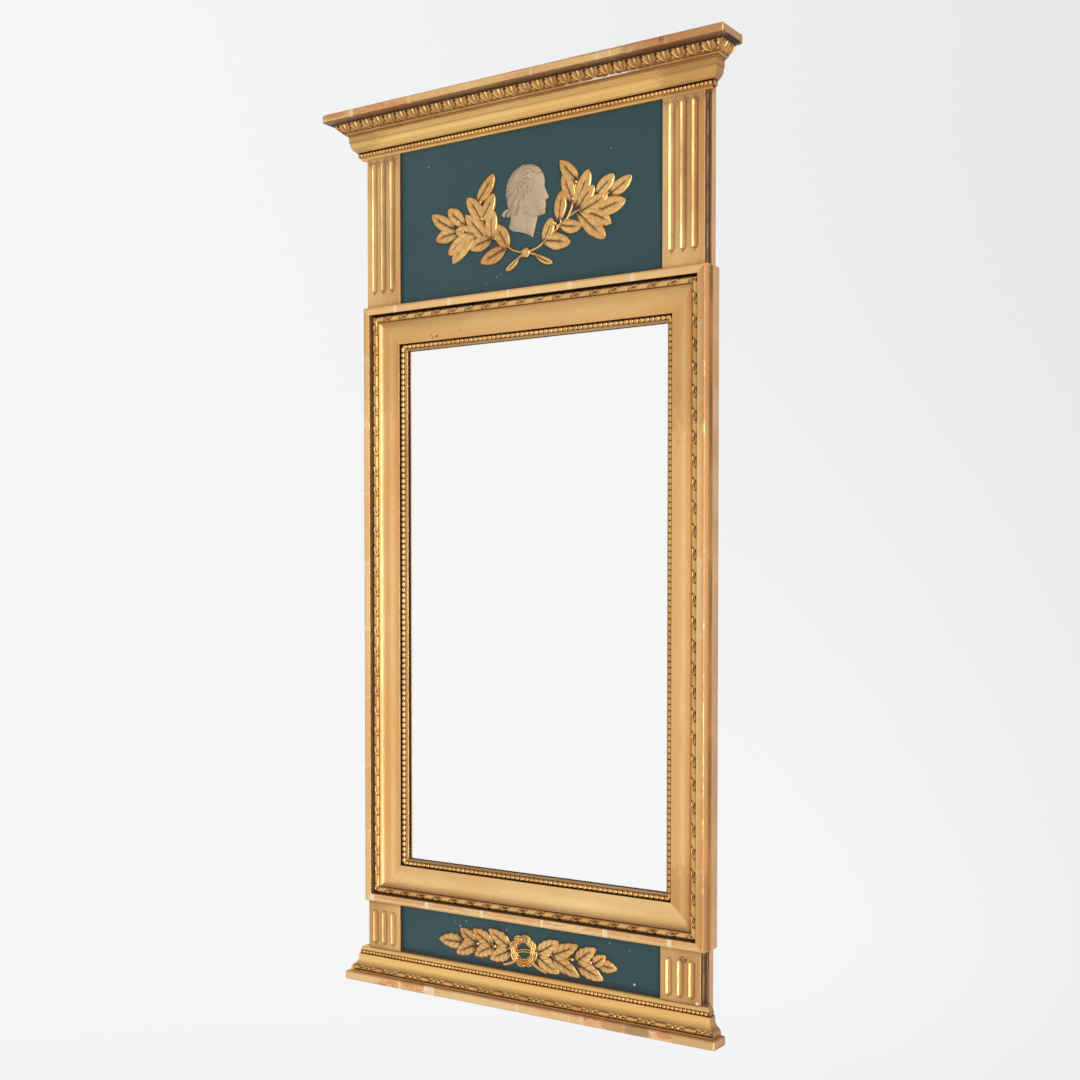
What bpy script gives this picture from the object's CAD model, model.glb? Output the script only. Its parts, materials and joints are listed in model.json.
import json
import random
from math import asin, atan2, ceil, copysign, cos, exp, hypot, pi, radians, sin, sqrt, tau

import bpy
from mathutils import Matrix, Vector

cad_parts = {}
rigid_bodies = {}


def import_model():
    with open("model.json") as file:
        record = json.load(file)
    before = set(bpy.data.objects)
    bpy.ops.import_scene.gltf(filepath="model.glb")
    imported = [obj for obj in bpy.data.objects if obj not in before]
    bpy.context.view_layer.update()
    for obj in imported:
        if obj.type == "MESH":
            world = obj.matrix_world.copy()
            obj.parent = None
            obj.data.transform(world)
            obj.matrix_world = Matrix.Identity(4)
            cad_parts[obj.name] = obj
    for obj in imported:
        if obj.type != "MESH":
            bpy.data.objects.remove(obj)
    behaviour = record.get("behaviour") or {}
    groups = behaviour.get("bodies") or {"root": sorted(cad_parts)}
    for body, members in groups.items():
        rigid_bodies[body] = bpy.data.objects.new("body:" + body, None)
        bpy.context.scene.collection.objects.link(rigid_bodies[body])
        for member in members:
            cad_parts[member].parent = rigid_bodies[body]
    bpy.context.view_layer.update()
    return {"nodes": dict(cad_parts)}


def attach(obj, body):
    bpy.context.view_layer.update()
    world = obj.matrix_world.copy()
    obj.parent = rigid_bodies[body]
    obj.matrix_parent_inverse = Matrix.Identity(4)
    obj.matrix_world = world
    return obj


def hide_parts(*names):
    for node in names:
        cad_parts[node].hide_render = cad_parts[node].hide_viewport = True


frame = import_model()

# The room. A plain pale floor lies far below the mirror, which hangs free, and soft light
# comes from all round, strongest from the front right. The camera stands low to the right.
scene = bpy.context.scene
scene.view_settings.view_transform = "Standard"


def add(name, data):
    """A new object in the scene."""
    made = bpy.data.objects.new(name, data)
    scene.collection.objects.link(made)
    return made


camera = add("camera", bpy.data.cameras.new("camera"))
camera.location = (0.89386, -1.33192, -0.47042)
camera.rotation_euler = (radians(88.4114), 0, radians(33.8895))
camera.data.sensor_width = 36
camera.data.lens = 48.88
camera.data.shift_x = 0.00605
camera.data.shift_y = 0.0752
scene.camera = camera


class Wire:
    """The outlet of a node. A sum written on it adds the Math nodes of that sum."""

    def __init__(self, finish, socket):
        self.finish = finish
        self.socket = socket

    def maths(self, operation, *values, clamp=False):
        settings = {"operation": operation, "use_clamp": clamp}
        return self.finish.node("ShaderNodeMath", settings, dict(enumerate(values)))

    def __add__(self, other):
        return self.maths("ADD", self, other)

    def __radd__(self, other):
        return self.maths("ADD", other, self)

    def __sub__(self, other):
        return self.maths("SUBTRACT", self, other)

    def __rsub__(self, other):
        return self.maths("SUBTRACT", other, self)

    def __mul__(self, other):
        return self.maths("MULTIPLY", self, other)

    def __rmul__(self, other):
        return self.maths("MULTIPLY", other, self)

    def __truediv__(self, other):
        return self.maths("DIVIDE", self, other)

    def __abs__(self):
        return self.maths("ABSOLUTE", self)

    def fraction(self):
        return self.maths("FRACT", self)

    def whole(self):
        return self.maths("FLOOR", self)

    def capped(self):
        return self.maths("MULTIPLY", self, 1.0, clamp=True)

    def highest(self, other):
        return self.maths("MAXIMUM", self, other)

    def rise(self, low, high):
        """0 at low and 1 at high, with an easy slope between; low may be the larger one."""
        sockets = {0: self, 1: low, 2: high}
        return self.finish.node("ShaderNodeMapRange", {"interpolation_type": "SMOOTHSTEP"}, sockets)


def paint(red, green, blue):
    """A colour as the eye sees it, from 0 to 255, turned into light."""
    parts = [c / 255 for c in (red, green, blue)]
    return tuple(((c + 0.055) / 1.055) ** 2.4 if c > 0.04 else c / 12.92 for c in parts) + (1.0,)


class Finish:
    """A tree of nodes, for a material or for the room's light."""

    def __init__(self, owner):
        self.owner = owner
        owner.use_nodes = True
        self.tree = owner.node_tree
        self.shader = self.tree.nodes.get("Principled BSDF")

    def feed(self, socket, value):
        if isinstance(value, Wire):
            self.tree.links.new(value.socket, socket)
        else:
            socket.default_value = value

    def node(self, kind, settings={}, sockets={}, outlet=0):
        made = self.tree.nodes.new(kind)
        for key, value in settings.items():
            setattr(made, key, value)
        for key, value in sockets.items():
            self.feed(made.inputs[key], value)
        return Wire(self, made.outputs[outlet])

    def surface(self, **sockets):
        for key, value in sockets.items():
            self.feed(self.shader.inputs[key.replace("_", " ")], value)

    def axes(self, kind, outlet):
        """The x, y and z of what that outlet gives."""
        given = self.node(kind, outlet=outlet)
        return [self.node("ShaderNodeSeparateXYZ", {}, {0: given}, i) for i in range(3)]

    def place(self):
        """Where a point is in the row frame, in metres: x, y and z."""
        return self.axes("ShaderNodeTexCoord", "Object")

    def facing(self):
        return self.axes("ShaderNodeNewGeometry", "Normal")

    def cloud(self, scale, detail=3.0, stretch=(1, 1, 1), rough=0.5):
        """Uneven patches, about 1/scale metres across, drawn out by stretch."""
        point = self.node("ShaderNodeTexCoord", outlet="Object")
        if stretch != (1, 1, 1):
            point = self.node("ShaderNodeVectorMath", {"operation": "MULTIPLY"}, {0: point, 1: stretch})
        sockets = {"Vector": point, "Scale": scale, "Detail": detail, "Roughness": rough}
        return self.node("ShaderNodeTexNoise", {}, sockets, "Fac")

    def mark(self, name):
        """A mark that the mesh carries on its points, from 0 to 1."""
        return self.node("ShaderNodeAttribute", {"attribute_name": name}, {}, "Fac")

    def coats(self, colour, *over):
        """Colours laid over the first by their amounts; three numbers are a colour for paint."""
        def lit(given):
            return paint(*given) if isinstance(given, tuple) and len(given) == 3 else given

        for amount, above in over:
            sockets = {0: amount, 6: lit(colour), 7: lit(above)}
            colour = self.node("ShaderNodeMix", {"data_type": "RGBA"}, sockets, 2)
        return colour

    def bump(self, height, depth):
        """Relief of that depth in metres."""
        return self.node("ShaderNodeBump", {}, {"Height": height, "Distance": depth}, "Normal")


def material(name):
    return Finish(bpy.data.materials.new(name))


room = Finish(bpy.data.worlds.new("room"))
scene.world = room.owner
across, away, upward = room.axes("ShaderNodeTexCoord", "Generated")
behind_right = (across * 0.86 + away * 0.51).rise(0.05, 0.95)
low_down = upward.rise(-0.2, -0.85)
front_right = (across * 0.86 - away * 0.45 + upward * 0.2).rise(0.80, 0.99)
side_on, up_on = (across + 0.58) / 0.17, (upward + 0.05) / 0.5
dim_front = (side_on * side_on + up_on * up_on).rise(0.65, 1.3) * away.rise(0.0, -0.3)
top_right = across.rise(-0.85, -0.25) * upward.rise(-0.3, 0.3) * away.rise(0.2, 0.5)
daylight = room.coats(
    (0.915, 0.925, 0.935, 1),
    (behind_right, (0.60, 0.60, 0.61, 1)),
    (low_down, (0.55, 0.54, 0.53, 1)),
    (dim_front * 0.55, (0.52, 0.40, 0.28, 1)),
    (top_right * 0.55, (0.76, 0.76, 0.76, 1)),
    (front_right, (1.5, 1.49, 1.47, 1)),
)
room.feed(room.tree.nodes["Background"].inputs["Color"], daylight)

lamp = add("window", bpy.data.lights.new("window", "AREA"))
lamp.data.shape = "RECTANGLE"
lamp.data.size = 0.28
lamp.data.size_y = 3.4
lamp.data.energy = 37
lamp.data.color = (1.0, 0.985, 0.96)
lamp.location = (1.85, -1.35, -0.45)
lamp.rotation_euler = (Vector((0.05, 0.0, -0.45)) - lamp.location).to_track_quat("-Z", "Y").to_euler()

floor_mesh = bpy.data.meshes.new("floor")
corners = [(-1.5, -2.5, -1.6), (1.5, -2.5, -1.6), (1.5, 0.9, -1.6), (-1.5, 0.9, -1.6)]
floor_mesh.from_pydata(corners, [], [(0, 1, 2, 3)])
pale = material("pale floor")
pale.surface(Base_Color=(0.88, 0.88, 0.88, 1), Roughness=0.8)
floor_mesh.materials.append(pale.owner)
add("floor", floor_mesh)


# The carcase: a halved frame of pine behind the glass, with its boards above and below. It
# is gilded where it shows at the sides and bare at the back, where the wood has browned.
def gilding(name, tone, deep, laps=None, soil=0.5, red=0.25, shine=0.34, streak=(1, 1, 1), stains=()):
    """Worn leaf over red bole, dark in the hollows. Laps are where the leaf's squares meet: the
    way they follow, a square's width, their shift, how far forward they lie and how pale they
    are. Stains have a place and a half size in mm, a depth and a colour."""
    f = material(name)
    x, y, z = f.place()
    hollow, rubbed, chipped = [f.mark(name) for name in ("hollow", "rubbed", "chipped")]
    patch, grain = f.cloud(75, 4, streak), f.cloud(420, 3, streak)
    drift = f.cloud(14, 3, streak).rise(0.35, 0.68)
    leaf = f.coats(tone, (drift * 0.75, deep), (patch.rise(0.45, 0.75) * 0.35, deep))
    thin = ((patch * 0.6 + grain * 0.4).rise(0.62, 0.45) * rubbed * 1.2).capped()
    bare = f.cloud(30, 4, streak).rise(0.50, 0.66) * grain.rise(0.36, 0.58) * red
    if laps:
        along, width, shift, front, plain = laps
        reach = ({"x": x, "z": z}[along] + (grain - 0.5) * 0.0014) / width + shift
        lot = (reach + 0.5).whole()
        chance, other = (lot * 0.377 + 0.13).fraction(), (lot * 0.719 + 0.4).fraction()
        broad = 0.011 + chance * chance * 0.045
        flat = (0 - y).rise(front - 0.0006, front)
        seam = abs(reach.fraction() - 0.5).rise(broad + 0.007, broad) * flat
        leaf = f.coats(
            leaf,
            (flat * (0.22 + chance.rise(0.75, 0.8) * 0.16), (255, 232, 180)),
            (other * flat * 0.35, deep),
            (seam * patch.rise(0.2, 0.4) * plain, (255, 240, 200)),
        )
        bare = bare * (0.35 + other * 1.3) * (1 - seam)
        thin = thin * (1 - seam * rubbed.rise(1.45, 1.3))
    bole = (thin * (0.6 + rubbed.rise(1.3, 1.5) * 0.15) + bare).capped()
    leaf = f.coats(leaf, (bole * 0.85, (192, 104, 62)))
    for at_x, at_z, half_x, half_z, depth, tint in stains:
        side_on, up_on = (x * 1000 - at_x) / half_x, (z * 1000 - at_z) / half_z
        spot = (side_on * side_on + up_on * up_on + (grain - 0.5) * 1.2).rise(1.2, 0.7)
        leaf = f.coats(leaf, (spot * depth, tint))
    shelf = f.facing()[2].rise(0.35, 0.9) * (0.35 + patch * 0.5)
    speck = f.cloud(1300, 1).rise(0.72, 0.78) * 0.5
    grime = (hollow * (1.25 - grain * 0.5) * (0.55 + soil) + speck).capped()
    f.surface(
        Base_Color=f.coats(
            leaf,
            (shelf * soil * 1.2, (128, 84, 62)),
            (grime, (72, 44, 26)),
            (hollow.rise(0.80, 1.0) * 0.9, (26, 15, 8)),
            (chipped, (238, 230, 216)),
        ),
        Metallic=0.97 - (grime * 0.85).highest(bole * 0.75).highest(shelf * 0.3).highest(chipped * 0.97),
        Roughness=shine + patch * 0.10 + grime * 0.25 + bole * 0.12,
        Normal=f.bump(grain * 0.6 + patch, 0.00022),
    )
    return f


def dress(nodes, finish):
    """Gives CAD nodes that stay in view their finish."""
    for name in nodes:
        for piece in frame["nodes"][name].children_recursive + [frame["nodes"][name]]:
            if piece.type == "MESH":
                piece.data.materials.clear()
                piece.data.materials.append(finish.owner)


edges = gilding("gilded edges", (240, 196, 146), (214, 166, 120), soil=0.6, red=0.3)
turned = edges.facing()[1]
back, ledge = turned.rise(0.4, 0.6), turned.rise(-0.5, -0.8)
gilt = {
    key: Wire(edges, edges.shader.inputs[key].links[0].from_socket)
    for key in ("Base Color", "Metallic", "Roughness")
}
streaks = edges.cloud(420, 4, (1, 1, 0.03)).rise(0.40, 0.60)
wood = edges.coats(
    (150, 108, 72),
    (edges.cloud(90, 5, (1, 1, 0.07), 0.65).rise(0.3, 0.7), (104, 70, 44)),
    (edges.cloud(26, 2, (1, 1, 0.05)).rise(0.5, 0.62) * 0.5, (84, 54, 34)),
)
sooty = edges.coats((66, 44, 28), (streaks, (150, 108, 66)))
edges.surface(
    Base_Color=edges.coats(gilt["Base Color"], (ledge * 0.85, sooty), (back, wood)),
    Metallic=gilt["Metallic"] * (1 - back) * (1 - ledge * 0.9),
    Roughness=gilt["Roughness"] * (1 - back) + back * 0.72,
)
dress(["frame_stile_left", "frame_stile_right", "frame_rail_top", "frame_rail_bottom"], edges)
dress(["frieze_board", "plinth_board", "cornice_core", "base_core"], edges)

# The back: a thin board sprigged in behind the glass, battens behind the upper and lower
# boards, two keyhole hangers of sheet steel and the screws that hold them all.
board = material("old backboard")
fibre = board.cloud(120, 5, (1, 1, 0.05), 0.7)
stained = board.cloud(9, 3).rise(0.45, 0.7) * 0.5
board.surface(
    Base_Color=board.coats((132, 96, 64), (fibre.rise(0.3, 0.72), (92, 62, 40)), (stained, (70, 48, 32))),
    Roughness=0.68 + fibre * 0.16,
    Normal=board.bump(fibre, 0.0004),
)
batten = material("sawn pine")
fibre = batten.cloud(150, 5, (1, 1, 0.06), 0.7)
knots = batten.cloud(40, 2, (1, 1, 0.5)).rise(0.66, 0.72) * 0.8
batten.surface(
    Base_Color=batten.coats((178, 136, 92), (fibre.rise(0.3, 0.7), (136, 96, 60)), (knots, (84, 52, 30))),
    Roughness=0.7 + fibre * 0.12,
    Normal=batten.bump(fibre, 0.0004),
)
steel = material("dull steel")
bloom = steel.cloud(160, 4)
rust = steel.cloud(60, 4).rise(0.54, 0.68)
steel.surface(
    Base_Color=steel.coats((150, 146, 140), (rust, (104, 66, 42))),
    Metallic=0.95 - rust * 0.7,
    Roughness=0.36 + bloom * 0.22 + rust * 0.25,
    Normal=steel.bump(bloom, 0.0001),
)
dress(["glass_backboard"], board)
dress(["batten_left", "batten_right"], batten)
dress(["backboard_nails", "wood_screws", "hanger_left", "hanger_right"], steel)

# The glass: one sheet of glass 2.5 mm thick, silvered at the back, lying in the rebate behind
# the sight slips, so that its reflection starts a little behind its face.
silver = material("silvered glass")
silver.surface(Base_Color=(1, 1, 1, 1), Roughness=0.0, IOR=1.5, Transmission_Weight=1.0)
sockets = {"Base Color": (1, 1, 1, 1), "Metallic": 1.0, "Roughness": silver.cloud(3, 2) * 0.01}
coat = silver.node("ShaderNodeBsdfPrincipled", {}, sockets, "BSDF")
at_back = silver.place()[1].rise(-0.0048, -0.0042)
clear = Wire(silver, silver.shader.outputs[0])
both = silver.node("ShaderNodeMixShader", {}, {0: at_back, 1: clear, 2: coat})
silver.feed(silver.tree.nodes["Material Output"].inputs["Surface"], both)
dress(["mirror_glass"], silver)


# The main moulding: four mitred lengths of pine, run with a plane, coated with gesso and
# water-gilded. A flat fillet, a deep channel for the ribbon, and a long cove to the sight.
def sweep(start, pull, end, parts):
    """Points of a curve from start to end that bends towards pull."""
    steps = [i / parts for i in range(parts + 1)]
    ends = list(zip(start, pull, end))
    return [tuple((1 - t) ** 2 * a + 2 * t * (1 - t) * b + t * t * c for a, b, c in ends) for t in steps]


frame_half_w = 221.5
frame_half_h = 344.5
frame_mid = -500.0
moulding = [(0, 13.5), (0, 23.4), (0.76, 25.24), (2.6, 26), (8.9, 26), (9.4, 25.5), (9.4, 17), (18.1, 17)]
moulding += sweep((18.1, 19.4), (24.1, 9.2), (44, 14), 16) + [(44, 9), (17.1, 9), (17.1, 13.5)]


def clip(value):
    return min(1.0, max(0.0, value))


def bell(value):
    """1 at nought, falling off softly on both sides."""
    return exp(-value * value)


def worked(points, ease, step=1.3, rim=0.5, smooth=0.3):
    """A closed section with its arrises eased, as [a, b, hollow, rubbed] all round. A bend of
    less than smooth, in radians, is no arris."""
    area = sum(p[0] * q[1] - q[0] * p[1] for p, q in zip(points, points[1:] + points[:1]))
    loop, corners = [], []
    for i in range(len(points)):
        a, b, c = (Vector(points[j % len(points)]) for j in (i - 1, i, i + 1))
        u, v = b - a, c - b
        bend = atan2(u.x * v.y - u.y * v.x, u.dot(v))
        if abs(bend) < smooth:
            loop.append(b)
            continue
        corners.append((b, copysign(bend, bend * area) * min(1.0, min(u.length, v.length) / 2.4 + 0.15)))
        p = b - u / u.length * min(ease, 0.42 * u.length)
        q = b + v / v.length * min(ease, 0.42 * v.length)
        loop += [p, p * 0.56 + b * 0.33 + q * 0.11, p * 0.11 + b * 0.33 + q * 0.56, q]
    out = []
    for p, q in zip(loop, loop[1:] + loop[:1]):
        parts = max(1, ceil((q - p).length / step))
        for k in range(parts):
            s = p.lerp(q, k / parts)
            hollow = rubbed = 0.0
            for corner, bend in corners:
                gap, force = (s - corner).length, min(1.0, abs(bend) / 1.3)
                if bend < 0:
                    hollow = max(hollow, force * bell(gap / 1.5))
                else:
                    rubbed = max(rubbed, force * bell(gap / rim))
            out.append((s.x, s.y, hollow, rubbed))
    return out


def wave(s, seed, reach=31.0):
    """A slow, uneven wander from -1 to 1 along a length."""
    waves = ((1, 1, 1.7), (0.6, 2.3, 4.1), (0.35, 5.9, 2.9))
    return sum(high * sin(s / reach * rate + seed * shift) for high, rate, shift in waves) / 1.95


def quads(start, count, wide, closed=True):
    """The faces between rows of points, the first of which has the number start."""
    faces = []
    for i in range(start, start + (count - 1) * wide, wide):
        for j in range(wide if closed else wide - 1):
            k = (j + 1) % wide
            faces.append((i + j, i + k, i + wide + k, i + wide + j))
    return faces


def cast(name, points, faces, finish, node, sharp):
    """Makes the object, which stands for its CAD node, from points in mm and their marks."""
    mesh = bpy.data.meshes.new(name)
    mesh.from_pydata([[c / 1000 for c in point[:3]] for point in points], [], faces)
    for key, values in zip(("hollow", "rubbed", "chipped"), list(zip(*points))[3:]):
        mesh.attributes.new(key, "FLOAT", "POINT").data.foreach_set("value", values)
    made = add(name, mesh)
    bpy.context.view_layer.objects.active = made
    made.select_set(True)
    bpy.ops.object.mode_set(mode="EDIT")
    bpy.ops.mesh.select_all(action="SELECT")
    bpy.ops.mesh.normals_make_consistent(inside=False)
    bpy.ops.object.mode_set(mode="OBJECT")
    made.select_set(False)
    mesh.shade_smooth()
    mesh.set_sharp_from_angle(angle=radians(sharp))
    mesh.materials.append(finish.owner)
    made.modifiers.new("even light", "WEIGHTED_NORMAL").keep_sharp = True
    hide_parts(node)
    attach(made, "root")


def piece(name, rows, finish, slot, node, sharp=38):
    """A solid through closed rows of points, with a face at each end."""
    wide, last = len(rows[0]), (len(rows) - 1) * len(rows[0])
    ends = [tuple(reversed(range(wide))), tuple(range(last, last + wide))]
    points = [point for row in rows for point in row]
    cast(name, points, quads(0, len(rows), wide) + ends, finish, node, sharp)


def run(section, stations, along, spot, sway, seed, height):
    """Rows of a mitred run whose section is a, b and two marks. For a at the part t of its
    length, along gives the place and the room left to the mitre; spot gives the point."""
    rows = []
    for i in range(stations + 1):
        row = []
        for a, b, dark, worn in section:
            s, left = along(a, i / stations)
            lift, soot = height(s, a, b) if height else (0.0, 0.0)
            out = lift - sway * (0.5 + 0.5 * wave(s, seed)) * clip(left / 8)
            row.append((*spot(s, a, b, out), max(dark, soot), worn))
        rows.append(row)
    return rows


sides = {"left": -1, "right": 1, "top": 1, "bottom": -1}


def on_frame(side, s, inward, forward):
    """The point at s along a side of the frame, so far inward from its edge."""
    hand = sides[side]
    if side in ("left", "right"):
        return hand * (frame_half_w - inward), -forward, frame_mid - hand * s
    return hand * s, -forward, frame_mid + hand * (frame_half_h - inward)


def framed(side, section, stations, sway=0.0, seed=1.0, height=None):
    """Rows of one mitred side of the frame, whose section goes inward and forward."""
    half = frame_half_h if side in ("left", "right") else frame_half_w

    def along(w, t):
        s = (half - w) * (2 * t - 1)
        return s, half - w - abs(s)

    def spot(s, w, d, out):
        return on_frame(side, s, w, d + out)

    return run(section, stations, along, spot, sway, seed, height)


bright, deeper, brown, spotted = (255, 209, 140), (238, 184, 112), (160, 104, 50), (118, 66, 34)
upward_streak, level_streak = (1, 1, 0.3), (0.3, 1, 1)
upright_gold = gilding(
    "gilding up", bright, deeper, ("z", 0.0786, 0.21, 0.0248, 0.2), 0.5, 0.12, 0.25, upward_streak,
    [(200, -150, 80, 170, 0.30, brown), (200, -870, 80, 110, 0.28, brown), (-200, -150, 80, 130, 0.2, brown)],
)
moulding_gold = {
    "left": upright_gold,
    "right": upright_gold,
    "top": gilding(
        "gilding along the top", bright, deeper,
        ("x", 0.0786, 0.72, 0.0248, 0.6), 0.5, 0.12, 0.25, level_streak,
        [
            (-131.2, -192.7, 1.0, 0.9, 0.7, spotted), (-129.4, -196.1, 1.2, 1.0, 0.75, spotted),
            (-123.5, -194.9, 2.4, 1.3, 0.75, spotted), (-91.7, -190.6, 1.3, 0.8, 0.6, spotted),
        ],
    ),
    "bottom": gilding(
        "gilding along the foot", (255, 220, 156), (240, 194, 126),
        ("x", 0.0786, 0.16, 0.0248, 0.8), 0.5, 0.15, 0.25, level_streak,
    ),
}
profile = worked(moulding, 0.45)


def toned(side):
    """The section with the dirt and the wear that each side has gathered."""
    out = []
    for w, d, dark, worn in profile:
        if w < 3.0 and d > 22.8:
            worn = max(worn, 1.5 if side == "right" and d > 24.6 and w > 0.5 else 0.6)
        if side == "bottom" and 4.6 < w < 9.2 and d > 25.4:
            worn = max(worn, 1.25)
        if side == "right" and 2.0 < w < 6.4 and d > 25:
            dark = max(dark, 0.14)
        if w > 18 and d > 12.3:
            under_lip = (0.25 if side == "right" else 0.42) * bell((w - 18.1) / 3.2)
            dark = max(dark, under_lip, (0.34 - (w - 18) * 0.011) * (side == "top"))
        if (w > 43.6 and d < 12.6) or 9.3 < w < 10.4:
            dark = 1.0 if side in ("top", "right") or w > 43.6 else 0.8
        out.append((w, d, dark, worn))
    return out


for number, side in enumerate(sides):
    rows = framed(side, toned(side), 140 if number < 2 else 90, 0.18, number + 1.3)
    piece("moulding_run_" + side, rows, moulding_gold[side], "gilded_wood", "moulding_" + side)

# The ribbon: pressed composition, glued into the channel in lengths. A smooth band winds
# along it, and between its turns an oval loop stands open over a dark hollow.
ribbon_pitch = 23.2
ribbon_mid = 13.9
ribbon_half = 3.9
channel_floor = 17.0
cast_gold = gilding("composition gilding", (244, 196, 124), (214, 160, 92), None, 0.75, 0.3, 0.28)


def ribbon_relief(s, w):
    """Height over the channel's floor and the dirt in it, at s along a length."""
    over = w - ribbon_mid
    q = over / ribbon_half
    high, soot = 1.3 + 3.55 * sqrt(max(0.0, 1 - (0.96 * q) ** 2)), 0.0
    along = ((s / ribbon_pitch + 0.85) % 1 - 0.5) * ribbon_pitch
    lean = over + 0.20 * along - 0.5
    loop = hypot((along + 0.45 * over) / 5.9, lean / 2.9)
    eye = hypot((along + 0.30 * over + 0.3) / 4.0, (lean - 0.1) / 1.1)
    if loop < 1:
        high += 0.25 * bell((loop - 0.72) / 0.2) - 0.3 * (1 - loop)
        soot = 0.12
    if eye < 1.15:
        high -= 1.7 * (1 - (eye / 1.15) ** 2)
        soot = max(soot, min(0.72, 0.9 * (1.15 - eye)))
    rim = bell((loop - 1.0) / 0.09)
    high -= 0.8 * rim
    soot = max(soot, 0.78 * rim)
    for x0, w0, x1, w1 in ((5.0, -1.8, 8.2, -3.9), (-5.0, 1.4, -7.2, 3.9)):
        dx, dw = x1 - x0, w1 - w0
        t = clip(((along - x0) * dx + (over - w0) * dw) / (dx * dx + dw * dw))
        line = bell(hypot(along - x0 - dx * t, over - w0 - dw * t) / 0.45)
        high -= 0.9 * line
        soot = max(soot, 0.62 * line)
    if loop > 1:
        wedge = clip((along + 4.4) / 1.2) * clip((2.3 - 1.52 * over - along) / 1.1)
        wedge *= clip((-1.2 - over) / 0.7) * min(1.0, (loop - 1) * 6)
        high -= 2.6 * wedge
        soot = max(soot, 0.92 * wedge)
    return max(0.1, high) * min(1.0, (1 - abs(q)) * 7), max(soot, 1 - min(1.0, (1 - abs(q)) * 6))


strip = [(ribbon_mid + ribbon_half * (i / 8 - 1), channel_floor, 0.0, 0.0) for i in range(17)]
strip += [(strip[i][0], channel_floor - 0.2, 1.0, 0.0) for i in (-1, 0)]
for side, first in (("left", 3.0), ("right", -2.0), ("top", -180.0), ("bottom", 196.1)):
    def winding(s, w, d):
        return ribbon_relief(s - first, w) if d == channel_floor else (0.0, 1.0)

    rows = framed(side, strip, 1250 if side in ("left", "right") else 800, height=winding)
    piece("ribbon_cast_" + side, rows, cast_gold, "gilded_composition", "ribbon_" + side)

# The sight slips: four thin lengths let in behind the cove's lip. They hold the glass, and a
# row of pearls pressed in composition lies along them.
slip = [(44, 3.1), (44, 9.9), (49.4, 9.9), (49.4, 9.4), (51.7, 8.4), (51.7, 5.8), (47.2, 5.8), (47.2, 3.1)]
slip_section = [
    (w, d, 1.0 if (w < 49.2 and d > 9.4) or d < 6.2 else dark, worn)
    for w, d, dark, worn in worked(slip, 0.25, 1.2, 0.35)
]
slip_up, slip_on = [
    gilding("slip gilding " + way, (222, 182, 118), (184, 138, 78), None, 1.1, 0.3, 0.3, streak)
    for way, streak in (("up", upward_streak), ("along", level_streak))
]
for number, side in enumerate(sides):
    rows = framed(side, slip_section, 60, 0.0, number + 5.1)
    piece("slip_run_" + side, rows, slip_up if number < 2 else slip_on, "gilded_wood", "slip_" + side)


def pearls(length, pitch, radius, long, neck):
    """Stations along a row of pearls, each with its radius and the dirt there."""
    count = max(1, round(length / pitch))
    pitch = length / count
    draw = random.Random(round(length))
    out = [(-length / 2, radius * neck, 1.0)]
    for i in range(count):
        mid = -length / 2 + (i + 0.5) * pitch
        size = radius * draw.uniform(0.93, 1.0)
        half = pitch * long * draw.uniform(0.94, 1.0)
        for k in range(9):
            angle = pi * (k + 0.5) / 9
            r = max(radius * neck, size * sin(angle) ** 0.6)
            out.append((mid - half * cos(angle), r, 1 - min(1.0, r / radius * 1.5)))
        out.append((mid + pitch / 2, radius * neck, 1.0))
    return out


def beaded(stations, spot, steps=8, proud=0.0):
    """Half-round rows: spot(s, r cos, r sin) gives the point of a station."""
    rows = []
    for s, r, soot in stations:
        row = []
        for j in range(steps + 1):
            a = pi * (1 + 0.5 * proud) * (j / steps - 0.5)
            dirt = max(soot, abs(2 * j / steps - 1) ** 12)
            row.append((*spot(s, proud + r * cos(a), r * sin(a)), dirt))
        rows.append(row)
    return rows


pearl_w = 46.9
pearl_d = 9.8
for side, way in (("left", 1), ("right", -1), ("top", 1), ("bottom", -1)):
    half = (frame_half_h if side in ("left", "right") else frame_half_w) - pearl_w
    string = pearls(2 * half, 6.25, 2.6, 0.49, 0.4)
    rows = beaded(string, lambda s, out, over: on_frame(side, way * s, pearl_w + over, pearl_d + out))
    piece("pearl_row_" + side, rows, cast_gold, "gilded_composition", "pearls_" + side)

# The frieze: a painted panel between two fluted pilasters, all planted on the upper board.
# The pilasters are pine, cut with three round-ended flutes and water-gilded.
panel_paint = material("blue-green paint")
x, y, z = panel_paint.place()
brushed = panel_paint.cloud(40, 4, (0.15, 1, 1))
foot = z.rise(-0.889, -0.8965) * z.rise(-0.91, -0.90) + z.rise(-0.147, -0.1555) * z.rise(-0.4, -0.2) * 0.4
flecks = []
for fleck_x, fleck_z, fleck_r in (
    (-131.2, -5.6, 0.9), (-38.0, -139.3, 0.7), (-51.6, -144.1, 0.6), (-31.4, -136.6, 0.6),
    (107.9, -23.3, 0.7), (138.2, -889.8, 1.7), (132.5, -855.2, 0.7), (108.3, -850.5, 0.8),
    (-87.1, -858.2, 1.1), (-78.7, -851.5, 0.9), (-93.8, -853.5, 0.6), (-23.8, -854.3, 0.9),
):
    side_on, up_on = (x * 1000 - fleck_x) / fleck_r, (z * 1000 - fleck_z) / fleck_r
    flecks.append(((side_on * side_on + up_on * up_on).rise(1, 0.25) * 0.85, (176, 196, 200)))
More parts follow.
